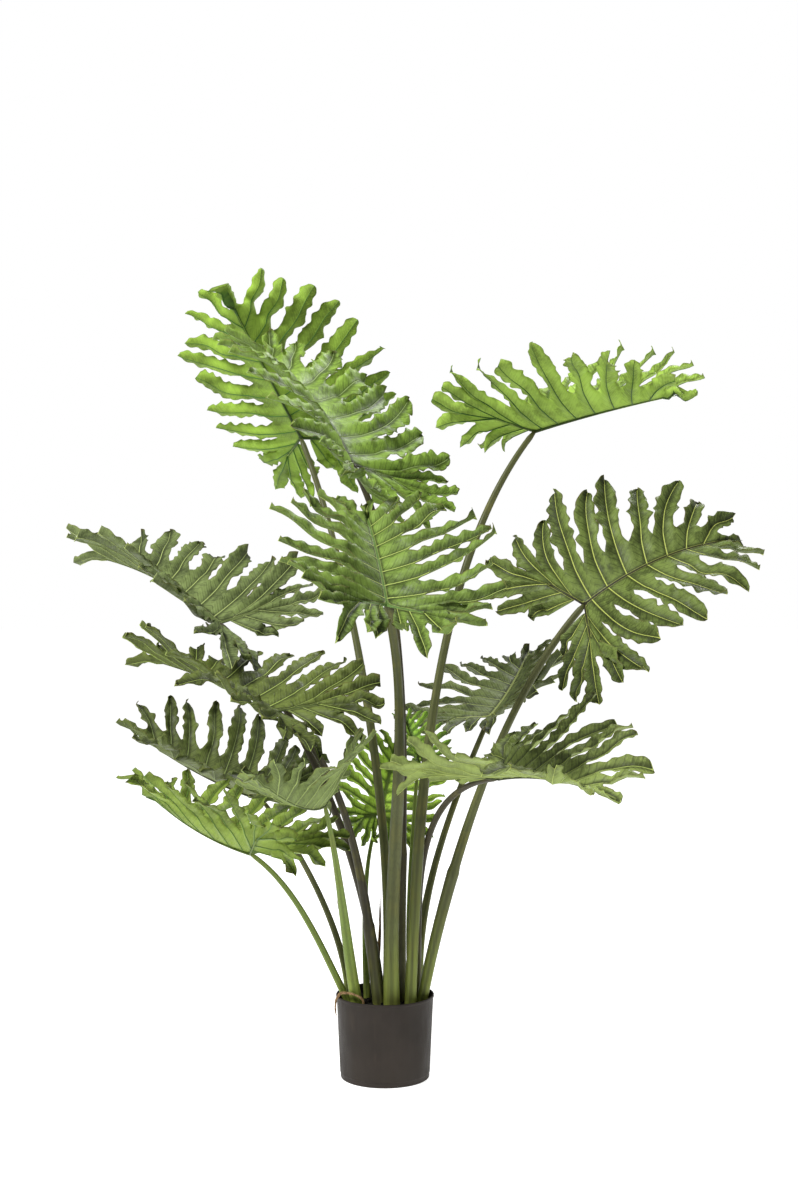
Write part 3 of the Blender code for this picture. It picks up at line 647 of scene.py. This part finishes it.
def pot_finish():
    """Dull moulded plastic with fine grain and rubbed marks."""
    look = Finish("pot_finish", 0.55, 0.15)
    cloud = look.noise(9, 4)
    rub = look.noise(1.0, 3, 0.6, look.stretched((60, 60, 14)))
    colour = look.mix(look.band(cloud, 0.3, 0.7), shown((38, 33, 29)), shown((47, 41, 36)))
    colour = look.mix(look.band(rub, 0.55, 0.8, 0.0, 0.35), colour, shown((66, 59, 52)))
    grain = look.noise(1400, 2)
    normal = look.bump(grain, 0.00035, 0.5)
    normal = look.bump(cloud, 0.002, 0.15, normal)
    return look.dress(colour, look.band(rub, 0.3, 0.75, 0.46, 0.66), normal)


def soil_finish():
    """Black, rough potting soil."""
    look = Finish("soil_finish", 0.95, 0.15)
    crumb = look.noise(260, 4, 0.7)
    colour = look.mix(look.band(crumb, 0.35, 0.7), shown((18, 16, 15)), shown((52, 46, 42)))
    return look.dress(colour, None, look.bump(crumb, 0.003, 1.0))


# Pieces


def mesh_piece(name, bm, materials, slot, *nodes):
    """A piece on the plant's one body, standing for the CAD nodes, which it hides. The slot is not used."""
    mesh = bpy.data.meshes.new(name)
    bm.to_mesh(mesh)
    bm.free()
    mesh.shade_smooth()
    for one in materials:
        mesh.materials.append(one)
    piece = bpy.data.objects.new(name, mesh)
    bpy.context.scene.collection.objects.link(piece)
    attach(piece, "root")
    if nodes:
        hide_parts(*nodes)
    return piece


def bent_grid(bm, points, marks, names):
    """A grid bent to its points, with a value of each named mark at every point."""
    rows, columns = points.shape[:2]
    verts = bmesh.ops.create_grid(bm, x_segments=columns - 1, y_segments=rows - 1, size=1)["verts"]
    layers = [bm.verts.layers.float[name] for name in names]
    for vert, point, values in zip(verts, points.reshape(-1, 3), marks.reshape(rows * columns, -1)):
        vert.co = point
        for layer, value in zip(layers, values):
            vert[layer] = value


def make_leaf(number, leaf):
    """The waved blade, with its own finish above and below."""
    slot, blade, veins, rib = FINISHES[number]
    bm = bmesh.new()
    for name in BLADE_MARKS:
        bm.verts.layers.float.new(name)
    lobes = leaf_lobes(number, leaf)
    for flat, lift, marks in lobes:
        bent_grid(bm, placed(flat, lift, leaf), marks, BLADE_MARKS)
    bmesh.ops.remove_doubles(bm, verts=bm.verts, dist=LEAF_WELD)
    bmesh.ops.recalc_face_normals(bm, faces=bm.faces)
    up = Vector(directions(*leaf["turn"])[2])
    if sum(face.normal.dot(up) * face.calc_area() for face in bm.faces) < 0:
        bmesh.ops.reverse_faces(bm, faces=bm.faces)
    above = blade_finish("leaf_" + number + "_above", blade, veins, rib, False)
    below = blade_finish("leaf_" + number + "_below", blade, veins, rib, True)
    piece = mesh_piece("leaf_" + number, bm, (above, below), slot, "blade_" + number)
    thick = piece.modifiers.new("thickness", "SOLIDIFY")
    thick.thickness = BLADE_THICKNESS
    thick.offset = 0
    thick.material_offset = 1
    thick.material_offset_rim = 0
    make_ribs(number, leaf, lobes, blade, rib, veins, slot)


def add_tube(bm, path, radii, around, names, first_side, flat=1.0, groove=0.0):
    """A closed tube along a path, as a grid wound round it; flat squeezes it, groove channels it."""
    run = np.gradient(path, axis=0)
    run /= np.linalg.norm(run, axis=1, keepdims=True)
    side = np.array(first_side)
    angles = np.linspace(-math.pi, math.pi, around + 1)
    points, marks = [], []
    count = len(path)
    for i in range(count):
        side = side - run[i] * side.dot(run[i])
        side /= np.linalg.norm(side)
        other = np.cross(run[i], side)
        radius = radii[i] * (1 - groove * np.exp(-((angles / 0.45) ** 2)))
        out = np.cos(angles)[:, None] * side * flat + np.sin(angles)[:, None] * other
        points.append(path[i] + radius[:, None] * out)
        marks.append(np.stack([np.full(around + 1, i / (count - 1)), angles], 1)[:, : len(names)])
    ends = [np.repeat(path[:1], around + 1, 0), np.repeat(path[-1:], around + 1, 0)]
    points = np.array([ends[0]] + points + [ends[1]])
    marks = np.array([marks[0]] + marks + [marks[-1]])
    bent_grid(bm, points, marks, names)


def make_ribs(number, leaf, lobes, blade, rib, veins, slot):
    """The midrib, the two rear ribs and every lobe's vein, raised under the blade."""
    bm = bmesh.new()
    names = ("outward",)
    bm.verts.layers.float.new(names[0])
    midrib = leaf["midrib"]
    up = directions(*leaf["turn"])[2]
    lines = [(np.stack([np.linspace(0, 1.06, 26), np.zeros(26)], 1), 0.0025, 0.0004)]
    for side, spread in zip((1, -1), leaf["open"]):
        rear = unit(REAR_RIB_TURN - spread) * REAR_RIB * (1, side)
        lines.append((np.linspace(0, 1, 9)[:, None] * rear, 0.0021, 0.0011))
    scale = midrib / USUAL_MIDRIB
    for flat, thick, thin in lines:
        radii = (thick + (thin - thick) * np.linspace(0, 1, len(flat)) ** 0.8) * scale
        lift = -radii * 0.55 / midrib
        add_tube(bm, placed(flat, lift, leaf), radii, 10, names, up)
    ribs = len(bm.faces)
    for flat, lift, _ in lobes:
        middle = flat.shape[1] // 2
        keep = slice(0, len(flat) - 3, 3)
        line, raised = flat[keep, middle], lift[keep, middle]
        radii = np.linspace(0.00105, 0.00035, len(line)) * scale
        add_tube(bm, placed(line, raised - VEIN_SUNK / midrib, leaf), radii, 6, names, up)
    bm.faces.ensure_lookup_table()
    for face in bm.faces[ribs:]:
        face.material_index = 1
    bmesh.ops.remove_doubles(bm, verts=bm.verts, dist=WELD)
    bmesh.ops.recalc_face_normals(bm, faces=bm.faces)
    finishes = [rib_finish("ribs_" + number, rib, blade), rib_finish("veins_" + number, veins, veins)]
    mesh_piece("leaf_ribs_" + number, bm, finishes, slot)


def stalk_path(stalk, leaf, t):
    """Points at shares t along a stalk from the soil to the leaf."""
    foot = np.array([*stalk["foot"], SOIL_TOP + STRAIGHT_ABOVE_SOIL])
    low, high = (np.array(pull) for pull in stalk["pulls"])
    t = np.asarray(t, float)[:, None]
    path = (1 - t) ** 3 * foot + 3 * t * (1 - t) ** 2 * low
    return path + 3 * t * t * (1 - t) * high + t**3 * np.array(leaf["at"])


def make_stalk(number, stalk, leaf):
    """A tapering grooved stalk, clasped by its own base and narrowed where it joins the ribs."""
    foot, top = stalk["radii"]
    t = np.linspace(0, 0.999, 64)
    path = stalk_path(stalk, leaf, t)
    radii = top + (foot - top) * (1 - t) ** 1.3
    length = np.concatenate([[0], np.cumsum(np.linalg.norm(np.diff(path, axis=0), axis=1))])
    left = length[-1] - length
    radii *= 1 - 0.42 * np.clip(1 - left / 0.012, 0, 1) ** 1.5
    radii *= 1 + 0.05 * np.sin(length / 0.07 + int(number))
    if number in SHEATH_ENDS:
        under = SHEATH_ENDS[number] - path[:, 2]
        radii *= 1 + np.where(under > 0, 0.22 * np.exp(-np.abs(under) / 0.07), 0)
    below = np.array([[*stalk["foot"], SOIL_TOP - STALK_SUNK], [*stalk["foot"], SOIL_TOP]])
    path = np.concatenate([below, path])
    radii = np.concatenate([[foot, foot], radii])
    bm = bmesh.new()
    for name in TUBE_MARKS:
        bm.verts.layers.float.new(name)
    add_tube(bm, path, radii, 20, TUBE_MARKS, (0.0, -1.0, 0.0), groove=0.13)
    bmesh.ops.remove_doubles(bm, verts=bm.verts, dist=WELD)
    bmesh.ops.recalc_face_normals(bm, faces=bm.faces)
    finish = stalk_finish("stalk_finish_" + number, STALK_FINISHES[number], int(number))
    mesh_piece("leaf_stalk_" + number, bm, [finish], "stalk", "stalk_" + number)


def smooth_path(points, steps):
    """A curve through the points."""
    points = np.asarray(points, float)
    ends = np.concatenate([[2 * points[0] - points[1]], points, [2 * points[-1] - points[-2]]])
    made = []
    for a, b, c, d in zip(ends, ends[1:], ends[2:], ends[3:]):
        for s in np.arange(steps) / steps:
            bend = (2 * a - 5 * b + 4 * c - d) * s * s + (3 * b - a - 3 * c + d) * s**3
            made.append(0.5 * (2 * b + (c - a) * s + bend))
    return np.array(made + [points[-1]])


def make_dry_piece(name, path, radii, finish, flat, seed):
    """A papery dry sheath: a flattened, channelled and crinkled tube."""
    bm = bmesh.new()
    for mark in TUBE_MARKS:
        bm.verts.layers.float.new(mark)
    add_tube(bm, path, radii, 16, TUBE_MARKS, (0.3, -1, 0.1), flat, 0.45)
    bmesh.ops.remove_doubles(bm, verts=bm.verts, dist=WELD)
    bmesh.ops.recalc_face_normals(bm, faces=bm.faces)
    around = bm.verts.layers.float["around"]
    for vert in bm.verts:
        vert.co += vert.normal * 0.0006 * noise.noise(vert.co * 260 + Vector((seed, 0, 0)))
        vert[around] = abs(vert[around]) / math.pi
    mesh_piece(name, bm, [finish], "dry_sheath", name)


def make_sheaths():
    """The two pointed sheaths and the one that loops over the rim."""
    dry = dry_finish()
    for name, foot, tip, radius in (
        ("sheath_left", (-0.056, 0.032), (-0.080, 0.055, 0.277), 0.003),
        ("sheath_middle", (-0.016, 0.024), (-0.008, 0.026, 0.303), 0.004),
    ):
        base = np.array([*foot, SOIL_TOP + STRAIGHT_ABOVE_SOIL])
        bow = (base + np.array(tip)) / 2 + np.array([0.003, 0.0, 0.0])
        path = smooth_path([(*foot, SOIL_TOP - STALK_SUNK), base, bow, tip], 12)
        share = np.linspace(0, 1, len(path))
        make_dry_piece(name, path, radius * 1.1 * np.maximum(0.06, 1 - share**2.2), dry, 0.8, 3.0)
    path = smooth_path(LOOP, 10)
    share = np.linspace(0, 1, len(path))
    radii = 0.0017 + 0.0009 * np.exp(-(((share - 0.60) / 0.16) ** 2))
    radii *= np.clip((1 - share) / 0.12, 0.15, 1)
    make_dry_piece("sheath_loop", path, radii, dry, 0.72, 9.0)


def turned(name, profile, steps, material, slot, *nodes):
    """A profile in X and Z spun round the Z axis."""
    bm = bmesh.new()
    verts = [bm.verts.new((x, 0, z)) for x, z in profile]
    edges = [bm.edges.new(pair) for pair in zip(verts, verts[1:])]
    whole = dict(cent=(0, 0, 0), axis=(0, 0, 1), angle=2 * math.pi, use_merge=True)
    bmesh.ops.spin(bm, geom=verts + edges, steps=steps, **whole)
    bmesh.ops.remove_doubles(bm, verts=bm.verts, dist=POT_WELD)
    bmesh.ops.recalc_face_normals(bm, faces=bm.faces)
    return mesh_piece(name, bm, [material], slot, *nodes)


def rounded(x, z, radius, first, last, steps=5):
    """Points on a small arc, its angles in degrees."""
    angles = np.radians(np.linspace(first, last, steps + 1))
    return [(x + radius * math.cos(a), z + radius * math.sin(a)) for a in angles]


def wall_radius(z):
    """The pot's outer radius at a height above its foot."""
    share = (z - FOOT_HEIGHT) / (POT_HEIGHT - FOOT_HEIGHT)
    return WALL_FOOT_RADIUS + (WALL_TOP_RADIUS - WALL_FOOT_RADIUS) * share


def make_pot():
    """The pot with its rolled rim and its foot step."""
    lip = 0.0009
    under_rim = POT_HEIGHT - RIM_DEPTH
    profile = [(0, FLOOR), (FOOT_RADIUS - WALL - 0.002, FLOOR), (FOOT_RADIUS - WALL, FLOOR + 0.002)]
    profile += [(WALL_TOP_RADIUS - WALL, POT_HEIGHT - 0.003)]
    profile += rounded(WALL_TOP_RADIUS - WALL + lip, POT_HEIGHT - lip, lip, 180, 90)
    profile += rounded(RIM_RADIUS - lip, POT_HEIGHT - lip, lip, 90, 0)
    profile += rounded(RIM_RADIUS - 0.0006, under_rim + 0.0006, 0.0006, 0, -90, 3)
    profile += [(wall_radius(under_rim) + 0.0002, under_rim)]
    profile += [(wall_radius(under_rim - 0.001), under_rim - 0.001)]
    profile += [(wall_radius(z), z) for z in np.linspace(0.120, FOOT_HEIGHT + 0.001, 8)]
    profile += rounded(WALL_FOOT_RADIUS - 0.0005, FOOT_HEIGHT, 0.0005, 0, -90, 3)
    profile += [(FOOT_RADIUS, FOOT_HEIGHT - 0.0012), (FOOT_RADIUS, 0.0016)]
    profile += rounded(FOOT_RADIUS - 0.0015, 0.0015, 0.0015, 0, -90, 4)
    profile += [(0, 0)]
    turned("nursery_pot", profile, 144, pot_finish(), "pot", "pot")


def inner_radius(z):
    """The pot's inner radius at a height."""
    share = (z - FLOOR - 0.002) / (POT_HEIGHT - FLOOR - 0.002)
    return FOOT_RADIUS - WALL + (WALL_TOP_RADIUS - FOOT_RADIUS) * share


def ground(x, y):
    """Height of the crumbly soil, heaped a little round the stalks."""
    rough = noise.fractal(Vector((x * 90, y * 90, 0.3)), 0.6, 2.1, 4)
    return SOIL_TOP - 0.001 + 0.0022 * rough + 0.003 * math.exp(-(x * x + y * y) / 0.002)


def make_soil():
    """Uneven soil with crumbs lying on it."""
    bm = bmesh.new()
    edge = inner_radius(SOIL_TOP - 0.002) - 0.0008
    rows = [("top", edge * s) for s in np.linspace(0, 1, 34)] + [("side", edge - 0.0004), ("under", 0.0)]
    angles = np.linspace(0, 2 * math.pi, 109)
    points = []
    for kind, radius in rows:
        ring = []
        for a in angles:
            x, y = radius * math.cos(a), radius * math.sin(a)
            ring.append((x, y, ground(x, y) if kind == "top" else SOIL_TOP - STALK_SUNK))
        points.append(ring)
    bent_grid(bm, np.array(points), np.zeros((len(rows), len(angles), 1)), ())
    bmesh.ops.remove_doubles(bm, verts=bm.verts, dist=WELD)
    bmesh.ops.recalc_face_normals(bm, faces=bm.faces)
    luck = np.random.default_rng(77)
    for i in range(CRUMBS):
        r, a = (edge - 0.003) * math.sqrt(luck.uniform(0, 1)), luck.uniform(0, 2 * math.pi)
        size = luck.uniform(0.0007, 0.0024)
        made = bmesh.ops.create_icosphere(bm, subdivisions=1, radius=size)["verts"]
        x, y = r * math.cos(a), r * math.sin(a)
        stretch = Vector(luck.uniform(0.6, 1.3, 3))
        middle = Vector((x, y, ground(x, y) + size * 0.3))
        for vert in made:
            vert.co = middle + vert.co * stretch * (1 + 0.3 * noise.noise(vert.co * 900))
    mesh_piece("potting_soil", bm, [soil_finish()], "soil", "soil")


# Studio


def add_light(name, place, aim, size, power):
    """A round soft light that faces its aim."""
    data = bpy.data.lights.new(name, "AREA")
    data.shape = "DISK"
    data.size = size
    data.energy = power
    light = bpy.data.objects.new(name, data)
    light.location = place
    light.rotation_euler = (Vector(aim) - Vector(place)).to_track_quat("-Z", "Y").to_euler()
    bpy.context.scene.collection.objects.link(light)


def make_studio():
    """The camera, the white floor and surroundings, and two lights."""
    scene = bpy.context.scene
    camera = bpy.data.objects.new("camera", bpy.data.cameras.new("camera"))
    camera.location = CAMERA_PLACE
    camera.rotation_euler = (math.pi / 2, 0, 0)
    camera.data.sensor_width = 36
    camera.data.lens = FOCAL_PIXELS / PHOTO_HEIGHT * camera.data.sensor_width
    camera.data.clip_end = 200
    scene.collection.objects.link(camera)
    scene.camera = camera
    bm = bmesh.new()
    bmesh.ops.create_circle(bm, cap_ends=True, segments=96, radius=40)
    mesh = bpy.data.meshes.new("floor")
    bm.to_mesh(mesh)
    bm.free()
    floor = bpy.data.objects.new("floor", mesh)
    floor.location = (0, 0, -0.0004)
    paint = Finish("floor_paint", 0.9, 0.1)
    paint.shader.inputs["Emission Color"].default_value = (1, 1, 1, 1)
    paint.shader.inputs["Emission Strength"].default_value = FLOOR_GLOW
    mesh.materials.append(paint.dress((0.93, 0.93, 0.93, 1)))
    scene.collection.objects.link(floor)
    world = bpy.data.worlds.new("studio")
    scene.world = world
    world.use_nodes = True
    sky = world.node_tree.nodes["Background"]
    sky.inputs["Color"].default_value = (1, 1, 1, 1)
    seen = world.node_tree.nodes.new("ShaderNodeLightPath").outputs["Is Camera Ray"]
    strength = world.node_tree.nodes.new("ShaderNodeMapRange")
    strength.inputs["To Min"].default_value = WORLD_LIGHT
    world.node_tree.links.new(seen, strength.inputs["Value"])
    world.node_tree.links.new(strength.outputs["Result"], sky.inputs["Strength"])
    scene.view_settings.view_transform = "Standard"
    scene.view_settings.look = "None"
    add_light("key", (-1.9, -2.0, 3.2), (0, 0, 0.7), 0.8, KEY_WATTS)
    add_light("back", (1.2, 1.6, 3.0), (0, 0, 0.8), 1.0, BACK_WATTS)


def main():
    """Builds the studio, the pot, the soil, the sheaths and then leaf after leaf."""
    make_studio()
    make_pot()
    make_soil()
    make_sheaths()
    for number, leaf in LEAVES.items():
        make_leaf(number, leaf)
        make_stalk(number, STALKS[number], leaf)


main()
